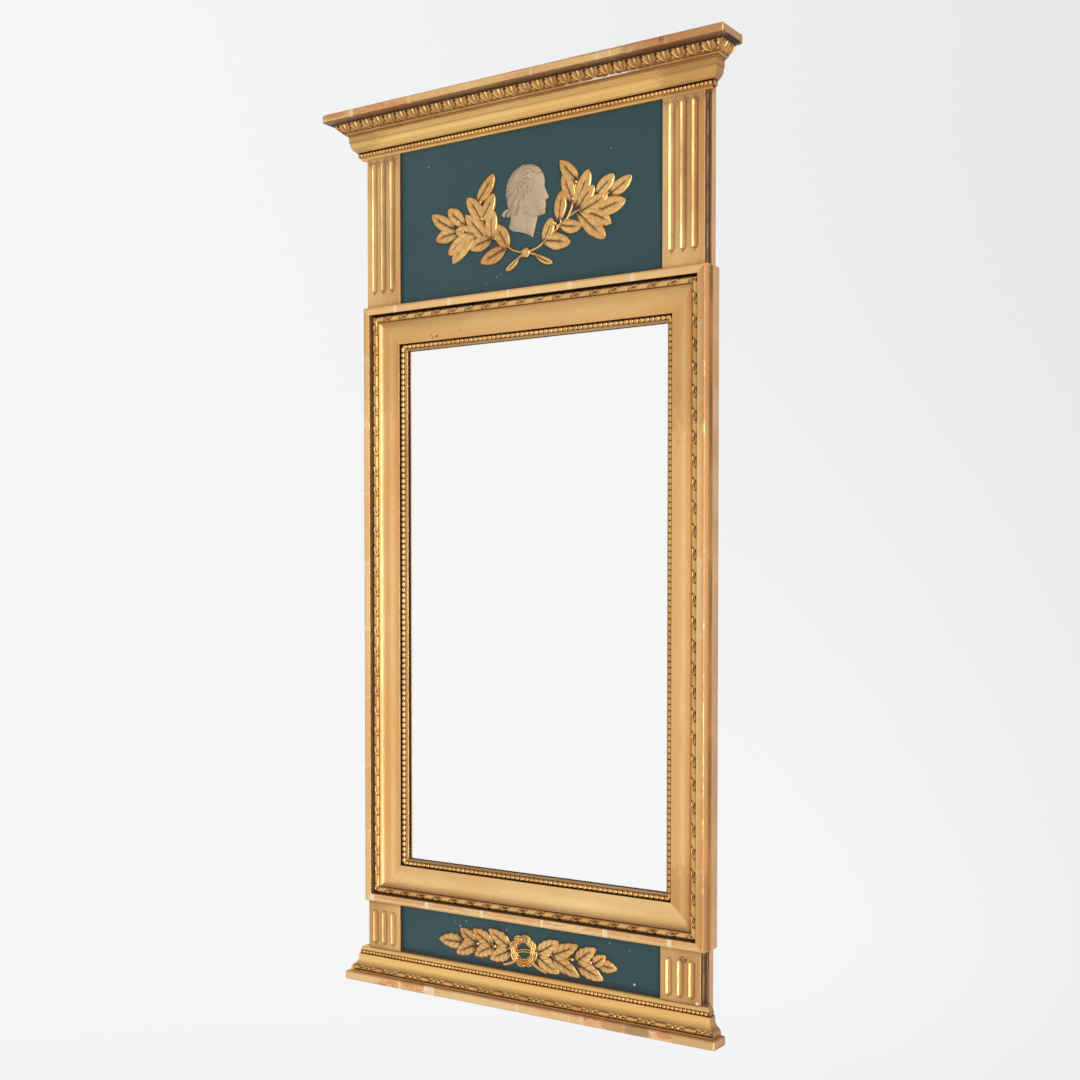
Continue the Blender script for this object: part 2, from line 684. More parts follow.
panel_paint.surface(
    Base_Color=panel_paint.coats(
        (43, 77, 84),
        (panel_paint.cloud(6, 3).rise(0.3, 0.7) * 0.5, (34, 69, 75)),
        (x.rise(-0.17, 0.17) * 0.6, (12, 58, 60)),
        (brushed * 0.25, (23, 50, 55)),
        (panel_paint.cloud(210, 2).rise(0.80, 0.815) * 0.7, (168, 160, 140)),
        (foot * 0.65, (14, 26, 30)),
        *flecks,
    ),
    Roughness=0.44 + brushed * 0.14,
    Normal=panel_paint.bump(brushed, 0.00008),
)
dress(["frieze_panel", "plinth_panel"], panel_paint)
fluted_gold = gilding("flute gilding", (238, 196, 134), (204, 154, 96), None, 0.8, 0.25, 0.24, (1, 1, 0.25))


def fluted(name, node, mid, width, face, low, high, foot, head, seed, dirty=0.0, ring=None, chip=None):
    """A flat member with three shallow flutes, as rows from its foot up. The flutes stop short
    by foot and head; a ring of dirt and a chip have a place and a radius."""
    flute_r, depth, pitch, back, eased_r = 3.75, 2.3, 13.1, 9, 0.9
    half = width / 2
    near_edge = [0, 0.12, 0.45, 0.9, 2.2, 4.0, 6.0]
    spread = [-half + e for e in near_edge] + [half - e for e in near_edge] + [-6.5, 6.5]
    spread += [n * pitch - flute_r * 1.1 * cos(pi * k / 16) for n in (-1, 0, 1) for k in range(17)]
    foot_end, head_end = low + foot, high - head
    span = head_end - foot_end - 2 * flute_r
    levels = {low, high, low + 0.4, high - 0.4} | {foot_end + flute_r + span * k / 24 for k in range(25)}
    for k in range(13):
        reach = flute_r * (1 - cos(pi / 2 * k / 12)) * 1.02
        levels |= {foot_end - 0.15 + reach, head_end + 0.15 - reach}
    for k in range(5):
        levels |= {low + (foot_end - low) * k / 4, head_end + (high - head_end) * k / 4}
    levels |= {high - 0.5 * k for k in range(1, 24)}
    rows = []
    for level in sorted(levels):
        row = []
        for off in sorted(spread):
            cut = lip = 0.0
            beyond = max(foot_end + flute_r - level, level - (head_end - flute_r), 0.0)
            for n in (-1, 0, 1):
                q = hypot(off - n * pitch, beyond) / flute_r
                cut = max(cut, depth * (1 - q * q))
                lip = max(lip, bell((q - 1.03) / 0.07))
            from_edge = half - abs(off)
            ease = eased_r - sqrt(max(0.0, eased_r ** 2 - max(0.0, eased_r - from_edge) ** 2))
            wander = 0.12 * (0.5 + 0.5 * wave(level + off * 3, seed, 19))
            near_head = clip(1 - abs(level - head_end) / 11)
            near_head *= 0.5 + 0.5 * wave(level * 2 + off * 5, seed, 9)
            flute = max(-1, min(1, round(off / pitch)))
            inside = (0.12, 0.42, 0.30)[flute + 1] + 0.22 * wave(level, seed + flute, 23)
            dark = max(
                0.30 * bell((high - level) / 3.0) + 0.25 * bell((level - low) / 3.0),
                dirty * near_head, 0.5 * lip, 0.5 * (from_edge < 0.3) * dirty, dirty * inside * (cut > 0.2),
            )
            if ring:
                far = hypot(mid + off - ring[0], level - ring[1])
                dark = max(dark, 0.75 * bell((far - ring[2]) / 0.5), 0.35 * (far < ring[2]))
            worn = max(0.25 * lip, 0.6 * (from_edge < 0.5))
            chipped = bool(chip) and hypot(mid + off - chip[0], level - chip[1]) < chip[2]
            row.append((mid + off, -(face - cut - ease - wander), level, min(1.0, dark), worn, 1.0 * chipped))
        streak = 0.25 * wave(level, seed + 4, 6)
        flank = [
            (face - 1.3, 0.45 + streak), (face - 3.2, 0.94), (face - 6.4, 0.38 - streak),
            (back + 2.2, 0.92), (back, 0.6),
        ]
        row += [(mid + half, -deep, level, dark, 0.0, 0.0) for deep, dark in flank]
        row += [(mid - half, -deep, level, dark, 0.0, 0.0) for deep, dark in reversed(flank)]
        rows.append(row)
    piece(name, rows, fluted_gold, "gilded_wood", node)


fluted("pilaster_cut_left", "pilaster_left", -193.9, 48, 21.4, -155.5, 15, 16, 5, 2.0, 0.6)
fluted("pilaster_cut_right", "pilaster_right", 193.9, 48, 21.4, -155.5, 15, 16, 5, 6.0, 0.6)

# The plinth has the same panel between two short fluted blocks, made in the same way. The
# right block has a dark ring at its head and a chip at its foot.
ring, chip = (197.0, -854.7, 3.4), (213.5, -896.6, 1.4)
fluted("block_cut_left", "block_left", -193.8, 46.4, 23.4, -898.3, -844.5, 5, 9.5, 3.0)
fluted("block_cut_right", "block_right", 193.8, 46.4, 23.4, -898.3, -844.5, 5, 9.5, 9.0, 0.15, ring, chip)

# The cornice: a run moulding glued round a core, mitred at the front corners. It has a band
# with pearls, a cavetto and a fillet, and a leaf-tip cyma pressed in composition above.
cornice_x, cornice_d, cornice_z = 226.3, 21.4, 15.0
leaf_z, cap_z, top_z = 41.5, 53.9, 63.7
let_in = 4.4
run_start = 15.0


def bow(p, q, sag, parts):
    """Points of the arc from p to q that stands sag off its chord."""
    p, q = Vector(p), Vector(q)
    chord = (q - p).length
    along = (q - p) / chord
    out = Vector((-along.y, along.x)) * copysign(1, sag)
    radius = (chord * chord / 4 + sag * sag) / (2 * abs(sag))
    centre = (p + q) / 2 + out * (abs(sag) - radius)
    half = asin(min(1.0, chord / 2 / radius))
    turns = [-half + 2 * half * i / parts for i in range(parts + 1)]
    return [tuple(centre + radius * (out * cos(a) + along * sin(a))) for a in turns]


def wrapped(part, wide, deep, section, stations, sway=0.0, seed=1.0, height=None):
    """Rows of a moulding round a core, whose section goes outward and up."""
    def along(p, t):
        if part == "front":
            s = (wide + p) * (2 * t - 1)
            return s, wide + p - abs(s)
        s = run_start + (deep + p - run_start) * t
        return s, deep + p - s

    def spot(s, p, z, out):
        p += out * (p > 0)
        return (s, -(deep + p), z) if part == "front" else (sides[part] * (wide + p), -s, z)

    return run(section, stations, along, spot, sway, seed, height)


round_core = (("front", "front", 110), ("left", "return_left", 12), ("right", "return_right", 12))


def cornice_section(band):
    low, high = cornice_z, leaf_z
    section = worked(
        [(-let_in, low), (0, low), (0, low + 3), (band, low + 3), (band, low + 8.2), (3.6, low + 8.2)]
        + bow((3.6, low + 8.8), (9.2, high - 7), -1.9, 10)
        + [(10.2, high - 7), (10.2, high), (-let_in, high)],
        0.35,
    )
    out = []
    for p, z, dark, worn in section:
        if high - 8.5 < z < high - 5.5:
            dark *= 0.35
        if low + 7.9 < z < low + 8.5:
            dark = 1.0
        if z > high - 6.8 and p > 9:
            dark = max(dark, 0.2)
        out.append((p, z, dark, worn))
    return out


front_gold = gilding(
    "cornice gilding", (255, 214, 138), (250, 198, 120), None, 0.5, 0.12, 0.25, level_streak,
    [(250.0, 28.0, 80.0, 60.0, 0.4, (150, 98, 46)), (-250.0, 34.0, 60.0, 14.0, 0.3, (150, 98, 46))],
)
side_gold = gilding("return gilding", (222, 174, 118), (194, 142, 92), None, 0.7, 0.35, 0.36)
run_gold = {"front": front_gold, "left": side_gold, "right": side_gold}
for part, place, parts in round_core:
    section = cornice_section(0.6 if part == "front" else 2.6)
    rows = wrapped(part, cornice_x, cornice_d, section, parts, 0.15, 3.3)
    piece("cornice_run_" + part, rows, run_gold[part], "gilded_wood", "cornice_" + place)


def laid(depth, level):
    """Where a bead's points come on a row along the front."""
    return lambda s, out, over: (s, -(depth + out), level + over)


string = pearls(2 * (cornice_x + 0.5), 4.7, 2.4, 0.46, 0.15)
rows = beaded(string, laid(cornice_d + 0.55, cornice_z + 5.6), 10, 0.7)
piece("cornice_pearl_row", rows, cast_gold, "gilded_composition", "cornice_pearls")

toned_cast = gilding("toned composition", (250, 200, 124), (208, 152, 88), None, 1.0, 0.3, 0.26)
tip_pitch = 16.66
tip_shift = 0.587
cyma = [(10.8, leaf_z)] + sweep((11.6, 42.0), (21.1, 48.94), (22.6, 53.1), 40)
tip_section = [(p, z, 0.0, 0.0) for p, z in cyma]
tip_section += [(p, z, 1.0, 0.0) for p, z in ((22.6, cap_z), (-let_in, cap_z), (-let_in, leaf_z))]


def leaf_tips(s, z, end):
    """Carving depth, always inward, and dirt of the leaf-tip ornament."""
    start, stop = 0.22, 0.985
    v = (z - leaf_z) / 12.4
    if v <= start:
        groove = bell((v - 0.085) / 0.045)
        return -0.7 * groove, 0.1 + 0.5 * groove
    if v > stop:
        return 0.0, 0.6
    x = abs((s / tip_pitch + tip_shift) % 1 - 0.5) * tip_pitch
    from_side = tip_pitch / 2 - x
    w = max(0.0, (v - 0.26) / 0.74)
    lobe = 0.3 + 7.1 * sin(pi / 2 * min(1.0, w / 0.55)) ** 0.9
    gap, q = x - lobe, x / lobe
    if gap < 0:
        spoon = min(1.0, q * 1.08) ** 2.2
        rib = bell(q / 0.12) * min(1.0, w * 2)
        cut = 2.1 * (1 - max(spoon, rib * 0.9)) * min(1.0, lobe / 4)
        soot = min(0.34, 0.7 * max(0.0, 0.66 - max(spoon, rib))) * min(1.0, lobe / 3)
    else:
        berry = bell(hypot(from_side / 1.7, (v - 0.44) / 0.10))
        full = max(berry, 0.5 * bell((gap - 1.3) / 0.5) * (v < 0.5))
        cut = 2.0 - 1.8 * full
        soot = 0.46 - 0.46 * full
    seam = bell((gap - 0.3) / 0.36)
    pit = exp(-((from_side / 2.0) ** 4 + ((v - 0.87) / 0.06) ** 4))
    cut += 0.8 * seam + 2.2 * pit
    soot = max(0.1, soot, 0.5 * seam, min(0.78, pit * 1.3))
    fade = min(1.0, (v - start) / 0.05) * min(1.0, (stop - v) / 0.04)
    corner = clip((end - abs(s)) / 4.0) if end else 1.0
    return -min(cut, 3.3) * fade * (0.35 + 0.65 * corner), min(1.0, soot * fade + 2.0 * max(0.0, v - 0.93))


def chipping(x, z):
    """How white the gesso shows along the foot of the leaves."""
    lost = 1.0 if 94 < x < 138 else 0.45 * (62 < x < 150)
    return lost * (43.4 < z < 44.7 + wave(x, 4.0, 3.1))


for part, place, parts in round_core:
    def carve(s, p, z):
        if z >= cap_z - 0.05:
            return 0.0, 1.0
        return leaf_tips(s, z, cornice_x + p if part == "front" else 0)

    rows = wrapped(part, cornice_x, cornice_d, tip_section, 900 if part == "front" else 72, height=carve)
    if part == "front":
        rows = [[(*point, chipping(point[0], point[2])) for point in row] for row in rows]
    piece("leaf_tip_" + part, rows, toned_cast, "gilded_composition", "leaf_" + place, 60)


# The cap board: one flat board on top of the cornice, its arrises rounded and much handled.
def slab(name, node, half, face, low, high, finish, seed, under=0.0):
    """A flat board with rounded arrises and front corners, as rows along it."""
    r = 2.0
    ends = [0, 0.15, 0.6, 1.2, r]
    stations = [-half + e for e in ends] + [-half + 3 + (2 * half - 6) * i / 150 for i in range(151)]
    stations += [half - e for e in reversed(ends)]
    rows = []
    for s in stations:
        inset = max(0.0, r - (half - abs(s)))
        pull = r - sqrt(max(0.0, r * r - inset * inset))
        wear = 0.35 * (0.5 + 0.5 * wave(s, seed, 13)) + 0.35 * max(0.0, wave(s, seed + 3, 5.3)) ** 3
        front, top, foot = face - pull, high - pull, low + pull
        flat = [run_start + (front - r - run_start) * k / 6 for k in range(7)]
        turns = [(k, sin(pi / 2 * k / 5), cos(pi / 2 * k / 5), sin(pi * k / 5)) for k in range(6)]
        row = [(flat[0], top, 0.5, 0.0)] + [(d, top, 0.3, 0.0) for d in flat[1:]]
        for k, forth, up, bend in turns[1:]:
            d, z = front - r + r * forth - 0.7 * wear * bend, top - r + r * up - 0.7 * wear * bend
            row.append((d, z, 0.0, bend * 0.9 if k < 5 else 0.3))
        for k in range(1, 5):
            d = front - 0.06 - 0.06 * wave(s, seed + k, 17)
            row.append((d, top - r - (top - foot - 2 * r) * k / 5, 0.0, 0.15))
        for k, down, forth, bend in turns:
            d, z = front - r + r * forth - 0.56 * wear * bend, foot + r - r * down + 0.56 * wear * bend
            row.append((d, z, max(0.5 * (k == 5), under * (k > 1)), bend * 0.7))
        row += [(d, foot, 0.8 + 0.2 * (d < flat[5]), 0.0) for d in flat[5:0:-1]] + [(flat[0], foot, 0.5, 0.0)]
        if abs(s) == half:
            row = [(d, z, 0.15, 0.1) for d, z, dark, worn in row]
        rows.append([(s, -d, z, dark, worn) for d, z, dark, worn in row])
    piece(name, rows, finish, "gilded_wood", node)


pale_lap, rubbed_red, umber = (255, 240, 204), (186, 108, 68), (160, 66, 38)
cap_gold = gilding(
    "cap gilding", (248, 208, 140), (222, 166, 100),
    ("x", 0.081, 0.096, 0.0558, 0.06), 0.6, 0.4, 0.26, level_streak,
    [
        (-210.3, 58.8, 1.8, 12.0, 0.55, pale_lap), (33.8, 60.0, 0.9, 12.0, 0.40, pale_lap),
        (113.8, 58.8, 1.2, 12.0, 0.50, pale_lap), (121.5, 58.8, 8.0, 9.0, 0.18, pale_lap),
        (129.4, 58.8, 1.2, 12.0, 0.50, pale_lap), (248.0, 59.0, 105.0, 60.0, 0.40, (148, 96, 52)),
        (150.0, 64.2, 110.0, 3.4, 0.50, rubbed_red), (-238.0, 60.0, 20.0, 2.6, 0.50, rubbed_red),
        (20.0, 63.5, 26.0, 1.8, 0.40, rubbed_red), (187.0, 60.0, 1.6, 3.2, 0.80, umber),
        (190.2, 59.8, 1.3, 1.6, 0.70, umber),
    ],
)
slab("cap_slab", "cap_board", 255.4, 56.7, cap_z, top_z, cap_gold, 2.0, 0.55)

# The base: a moulding round a core, with a rounded top, pearls, a long cavetto and a bead
# and reel, standing on a flat slab whose front is the most worn part of the whole frame.
base_x, base_d, base_z = 226.6, 23.4, -898.3
slab_z, bottom_z = -926.7, -936.5
foot_z = slab_z + 0.9


def base_section(band, lower):
    """The run's upper part over a lower one, with dirt above the bead and reel."""
    section = worked(
        [(-let_in, base_z)]
        + bow((-2.6, base_z), (1.2, base_z - 4.4), 1.1, 6)
        + [(1.2, base_z - 4.9), (band, base_z - 4.9), (band, base_z - 9.3), (3, base_z - 9.3)]
        + bow((3, base_z - 13), (6.3, slab_z + 7.8), -0.8, 8)
        + lower + [(9.6, slab_z), (-let_in, slab_z)],
        0.3,
    )
    return [
        (p, z, max(dark, 0.32 * bell((z - slab_z - 8) / 3.2) * (p > 3)), worn)
        for p, z, dark, worn in section
    ]


bead_seat = [(7, slab_z + 7.8), (7, slab_z + 7), (6.3, slab_z + 7), (6.3, foot_z), (9.6, foot_z)]
base_front = base_section(-0.4, bead_seat)
base_end = base_section(1.6, bow((6.8, slab_z + 7.5), (9.6, foot_z), 1.2, 8))
for part, place, parts in round_core:
    section = base_front if part == "front" else base_end
    rows = wrapped(part, base_x, base_d, section, parts, 0.15, 8.8)
    piece("base_run_" + part, rows, run_gold[part], "gilded_wood", "base_" + place)

string = pearls(2 * (base_x - 0.5), 4.8, 2.25, 0.46, 0.2)
rows = beaded(string, laid(base_d - 0.45, base_z - 7.1), 10, 0.45)
piece("base_pearl_row", rows, toned_cast, "gilded_composition", "base_pearls")

reel_pitch, reel_shift, thread = 33.85, 6, 0.5
strung = ((0, 7.2, 3.0, 0.62, 14), (13.6, 2.0, 2.3, 0.8, 8), (20.2, 2.0, 2.3, 0.8, 8))
reach = base_x + 6.3
count = ceil(reach / reel_pitch) + 1
stations = []
for i in range(-count, count + 1):
    for mid, half, radius, power, steps in strung:
        centre = i * reel_pitch + mid + reel_shift
        stations.append((centre - half - 0.5, thread, 1.0))
        for k in range(steps + 1):
            angle = pi * k / steps
            r = max(thread, radius * sin(angle) ** power)
            stations.append((centre - half * cos(angle), r, 1 - min(1.0, r / radius * 1.15)))
        stations.append((centre + half + 0.5, thread, 1.0))
stations = [s for s in stations if abs(s[0]) < reach]
stations = [(-reach, thread, 1.0)] + stations + [(reach, thread, 1.0)]
rows = beaded(stations, laid(base_d + 6.25, slab_z + 3.95), 9)
piece("bead_and_reel_row", rows, toned_cast, "gilded_composition", "bead_and_reel")

slab_gold = gilding(
    "slab gilding", (255, 226, 168), (244, 194, 132),
    ("x", 0.0812, 0.4606, 0.0383, 0.06), 0.6, 0.8, 0.28, level_streak,
    [
        (-159.2, -931.5, 1.5, 12.0, 0.60, pale_lap), (-116.5, -931.0, 7.8, 8.0, 0.65, pale_lap),
        (3.3, -931.5, 1.5, 12.0, 0.50, pale_lap), (70.0, -931.5, 0.9, 12.0, 0.35, pale_lap),
        (-142.0, -927.5, 18.0, 2.4, 0.45, (206, 128, 86)), (123.0, -931.0, 15.0, 6.0, 0.50, (190, 122, 70)),
        (152.5, -931.5, 16.0, 8.0, 0.75, (164, 138, 98)), (171.0, -929.8, 3.0, 3.0, 0.50, (230, 212, 180)),
        (184.0, -930.0, 9.0, 4.0, 0.55, (206, 124, 80)), (218.0, -930.0, 30.0, 9.0, 0.30, (180, 124, 72)),
    ],
)
slab("base_slab_board", "base_slab", 240.7, 39.2, bottom_z, slab_z, slab_gold, 5.0)


# The laurel: leaves, stems, berries and a knot pressed in composition, glued to the panel as
# two branches that cross at the knot.
def eased(points, parts, closed=False):
    """A smooth line through the points."""
    count, out = len(points), []
    for i in range(count if closed else count - 1):
        near = [(i + k) % count if closed else min(max(i + k, 0), count - 1) for k in (-1, 0, 1, 2)]
        p0, p1, p2, p3 = (Vector(points[k]) for k in near)
        for t in (k / parts for k in range(parts)):
            line = (2 * p1) + (p2 - p0) * t + (2 * p0 - 5 * p1 + 4 * p2 - p3) * t * t
            out.append(0.5 * (line + (3 * p1 - p0 - 3 * p2 + p3) * t ** 3))
    return out if closed else out + [Vector(points[-1])]


sunk = -0.1
leaf_gold = gilding("laurel gilding", (252, 208, 138), (216, 162, 96), None, 0.75, 0.3, 0.25)


class Relief:
    """Gathers the points and faces of small cast shapes that lie on one flat face."""

    def __init__(self, face):
        self.face = face
        self.points, self.faces = [], []

    def grid(self, rows, closed=False):
        """Rows of points, each given as x, z, height over the face and dirt."""
        self.faces += quads(len(self.points), len(rows), len(rows[0]), closed)
        self.points += [(x, -(self.face + h), z, soot) for row in rows for x, z, h, soot in row]

    def leaf(self, foot, tip, width, bend, lift, veins, high, roll, blunt, cut, neck=0.85, scallop=0.0):
        """One leaf, domed between its edges, with a sunk midrib and side veins."""
        length = hypot(tip[0] - foot[0], tip[1] - foot[1])
        ax, az = (tip[0] - foot[0]) / length, (tip[1] - foot[1]) / length
        peak = (neck / (neck + blunt)) ** neck * (blunt / (neck + blunt)) ** blunt
        rows = []
        for t in (i / 30 for i in range(31)):
            belly = t ** neck * (1 - t) ** blunt / peak * (1 + scallop * sin(pi * veins * t))
            half = max(0.12, width / 2 * belly)
            on, sag = length * t, bend * sin(pi * t)
            row = []
            for j in range(-7, 8):
                q = max(-1.0, min(1.0, j / 6))
                side = abs(q)
                body = high * (0.36 + 0.22 * sin(pi * t)) + lift * t + roll * q
                dome = 0.50 * high * (1 - (side - 0.45) ** 2 * 3.2) * belly ** 0.8
                crease = bell(q / 0.13) * clip((0.85 - t) * 5)
                vein = max(0.0, cos(pi * veins * (t - 0.26 * side))) ** 3
                vein *= min(1.0, side * 4) * (1 - side ** 3)
                h = body + dome - 0.7 * crease - cut * vein - 0.35 * (abs(j) == 6)
                h = sunk if abs(j) == 7 else max(sunk, min(h, high * 1.08))
                dirt = 0.75 * crease + 1.5 * cut * vein + 0.9 * (abs(j) == 7) + 0.7 * bell(t / 0.16)
                off = sag + half * q
                row.append((foot[0] + ax * on - az * off, foot[1] + az * on + ax * off, h, min(1.0, dirt)))
            rows.append(row)
        self.grid(rows)

    def stem(self, path, thick, taper=0.7, high=2.6):
        """A half-round stem along a path of points, thinner towards its end."""
        line, rows = eased(path, 6), []
        for i, point in enumerate(line):
            ahead = (line[min(i + 1, len(line) - 1)] - line[max(i - 1, 0)]).normalized()
            t = i / (len(line) - 1)
            row = []
            for j in range(9):
                off = thick / 2 * (1 - taper * t) * cos(pi * j / 8)
                h = sunk + high * (1 - 0.3 * t) * sin(pi * j / 8)
                row.append((point.x - ahead.y * off, point.y + ahead.x * off, h, 0.8 if j in (0, 8) else 0.1))
            rows.append(row)
        self.grid(rows)

    def berry(self, x, z, r, high):
        rows = []
        for i in range(7):
            a = pi / 2 * i / 6
            ring, top = max(0.02, r * cos(a)), (high - r) + r * sin(a) if i else sunk
            round_it = [(ring * cos(tau * k / 14), ring * sin(tau * k / 14)) for k in range(14)]
            rows.append([(x + dx, z + dz, top, max(0.0, 1.0 - 0.5 * i)) for dx, dz in round_it])
        self.grid(rows, True)

    def make(self, name, node, finish=leaf_gold, sharp=50):
        cast(name, self.points, self.faces, finish, node, sharp)


knot_x, knot_z = 2.0, -118.0
panel_face = 17.3


def from_knot(points, hand=1):
    return [(knot_x + hand * a, knot_z + b) for a, b in points]


laurel = {
    "left": [
        (42, 91, 64, 64), (42, 70, 59, 43), (78, 70, 59, 41), (44, 53, 46, 21), (41, 35, 25, 8),
        (81, 51, 52, 20), (105, 60, 84, 41), (128, 57, 99, 39), (122, 29, 94, 33), (94, 36, 66, 28),
        (105, 11, 69, 29), (99, 0, 71, 26), (75, 13, 48, 20), (60, -4, 29, 8),
    ],
    "right": [
        (44, 92, 63, 70), (47, 77, 59, 48), (79, 77, 62, 42), (46, 60, 42, 30), (86, 59, 68, 40),
        (110, 67, 90, 51), (131, 63, 107, 49), (103, 49, 69, 35), (124, 39, 92, 32), (107, 17, 80, 31),
        (99, 3, 66, 34), (70, 19, 45, 24), (33, 33, 23, 11), (56, 4, 24, 10),
    ],
}
stems = [
    [(0, 0), (15, 4), (26, 11), (40, 21), (54, 31), (68, 37), (92, 43), (105, 50)],
    [(52, 29), (58, 40), (61, 52), (63, 64)],
    [(40, 21), (44, 26), (45, 34)],
]
berries = {
    "left": [(60, 62), (58, 44), (40, 20), (90, 45), (84, 33), (62, 27)],
    "right": [(64, 66), (60, 49), (41, 23), (38, 26), (97, 46), (90, 34)],
}
draw = random.Random(7)
for side, hand in (("left", -1), ("right", 1)):
    relief = Relief(panel_face)
    for path in stems:
        relief.stem(from_knot(path, hand), 3.4, 0.5)
    for number, (tx, tz, fx, fz) in enumerate(laurel[side]):
        length = hypot(tx - fx, tz - fz)
        foot = fx - (tx - fx) * 3 / length, fz - (tz - fz) * 3 / length
        relief.leaf(
            *from_knot((foot, (tx, tz)), hand),
            min(17.0, 10.6 + length * 0.19) * draw.uniform(0.97, 1.08), draw.uniform(-1.6, 1.6),
            draw.uniform(-0.5, 0.5), 7, 3.2 + 0.4 * (number % 2), draw.uniform(-0.6, 0.6),
            draw.uniform(0.55, 0.78), 0.22, 0.68,
        )
    for x, z in from_knot(berries[side], hand):
        relief.berry(x, z, 1.9, 3.6)
    relief.make("laurel_" + side, "branch_" + side)

relief = Relief(panel_face)
for path, blade, wide, bend in (
    ([(0, 0), (-7, -2.5), (-13, -6.5)], [(-8, -3), (-26, -16.5)], 7.8, 1.2),
    ([(0, 0), (10, -2.5), (18, -6)], [(11, -2.5), (34, -15)], 8.2, -1.2),
):
    relief.stem(from_knot(path), 3.2, 0.1)
    relief.leaf(*from_knot(blade), wide, bend, 0.3, 7, 3.0, 0.2, 0.5, 0.15)
rows = []
for i in range(10):
    a = pi / 2 * i / 9
    row = []
    for b in (tau * k / 28 for k in range(28)):
        fold = sin(5 * b + 2.4 * a)
        r = max(0.02, 5.8 * cos(a)) * (1 + 0.04 * fold)
        h = 1.0 + 3.4 * sin(a) + 0.28 * fold * cos(a) if i else sunk
        dirt = min(1.0, (i < 2) + max(0.0, -fold) * 0.6 * cos(a))
        row.append((knot_x + r * cos(b), knot_z + r * sin(b), h, dirt))
    rows.append(row)
relief.grid(rows, True)
relief.make("laurel_knot", "branch_knot")

# The relief head: cast plaster, toned to pale stone and set on the panel between the
# branches. The face is a plain, calm one on the usual proportions.
plaster = material("toned plaster")
film, grit = plaster.cloud(60, 4), plaster.cloud(600, 3)
plaster.surface(
    Base_Color=plaster.coats(
        (184, 164, 138),
        (film.rise(0.35, 0.7) * 0.6, (164, 142, 114)),
        ((plaster.mark("hollow") * (0.7 + grit * 0.5)).capped(), (112, 88, 66)),
    ),
    Metallic=0.0,
    Roughness=0.42 + film * 0.16,
    Coat_Weight=0.12,
    Normal=plaster.bump(grit * 0.5 + film, 0.00015),
)
head_chin = -80.0
outline = [
    (19.5, 49.5), (22.6, 45.8), (24.6, 41.5), (25.6, 37), (25.9, 33.4), (25.3, 30.6), (26.2, 28),
    (28.0, 24.2), (29.9, 20.4), (30.7, 18.0), (30.2, 16.5), (27.9, 15.7), (26.6, 14.9), (26.9, 13.2),
    (27.7, 11.5), (26.9, 10.3), (27.5, 9.0), (26.7, 7.3), (25.9, 6.1), (26.7, 4.2), (26.5, 1.8),
    (24.8, 0.2), (21.5, -0.4), (18.6, -0.2), (16.6, -1.4), (15.4, -5.0), (14.0, -10), (12.4, -15.5),
    (11.0, -20), (10.2, -22.4), (7.4, -20.4), (3.0, -18.0), (-3.0, -15.8), (-9.5, -14.2), (-15.5, -12.6),
    (-20.6, -8.6), (-19.6, -5.5), (-18.4, -1.5), (-18.2, 4), (-19.4, 9.5), (-21.6, 15), (-23.2, 21.5),
    (-24.0, 29), (-23.0, 36.5), (-20.2, 43.5), (-15.5, 49.2), (-9.0, 53.4), (-1.5, 55.7), (6.5, 55.9),
    (13.5, 53.8),
]
rim = eased(outline, 4, True)
rim_edges = list(zip(rim, rim[1:] + rim[:1]))
# Soft bumps: height, place, half width and half height, and turn in degrees.
bumps = [
    # brow, socket, eye and lids
    (0.55, 22.5, 33.6, 4.0, 1.3, -8), (-0.95, 21.6, 29.9, 3.4, 2.1, 0), (0.75, 21.3, 29.5, 1.9, 1.35, 0),
    (0.34, 21.2, 31.0, 2.7, 0.42, -14), (0.238, 21.3, 28.1, 2.2, 0.36, 8),
    # nose wing, nostril and cheek
    (0.65, 26.0, 17.4, 1.9, 1.7, 0), (-0.45, 23.3, 17.6, 0.7, 2.3, 18), (0.45, 15.5, 22.0, 5.0, 4.5, 0),
    (-0.30, 17.0, 13.5, 3.5, 3.0, 0),
    # lips and chin
    (0.40, 25.3, 12.0, 2.2, 0.95, 12), (0.42, 25.2, 8.7, 2.1, 0.95, -10), (-0.55, 24.6, 10.35, 2.8, 0.38, 3),
    (-0.35, 25.4, 6.3, 2.0, 0.8, 0), (0.45, 23.8, 3.2, 2.7, 2.2, 0),
]
shades = [
    (0.5, 20.6, 31.8, 2.9, 0.4, -14), (0.35, 23.6, 29.4, 0.6, 1.2, 0), (0.8, 26.8, 15.9, 0.9, 0.4, 0),
    (0.35, 23.5, 17.3, 0.5, 1.8, 18), (0.8, 24.8, 10.35, 2.6, 0.32, 3),
]
curls = [
    (5.6, 21.0, 2.1), (4.6, 16.4, 1.8), (-8.5, 11.0, 2.6), (-13.0, 10.5, 2.3), (-14.5, 5.4, 1.9),
    (-10.6, 6.4, 2.0), (7.0, 26.0, 2.0),
]


def blob(x, z, high, at_x, at_z, wide, tall, turn):
    """A soft round bump."""
    c, s = cos(radians(turn)), sin(radians(turn))
    u, v = ((x - at_x) * c + (z - at_z) * s) / wide, (-(x - at_x) * s + (z - at_z) * c) / tall
    return high * exp(-(u * u + v * v))


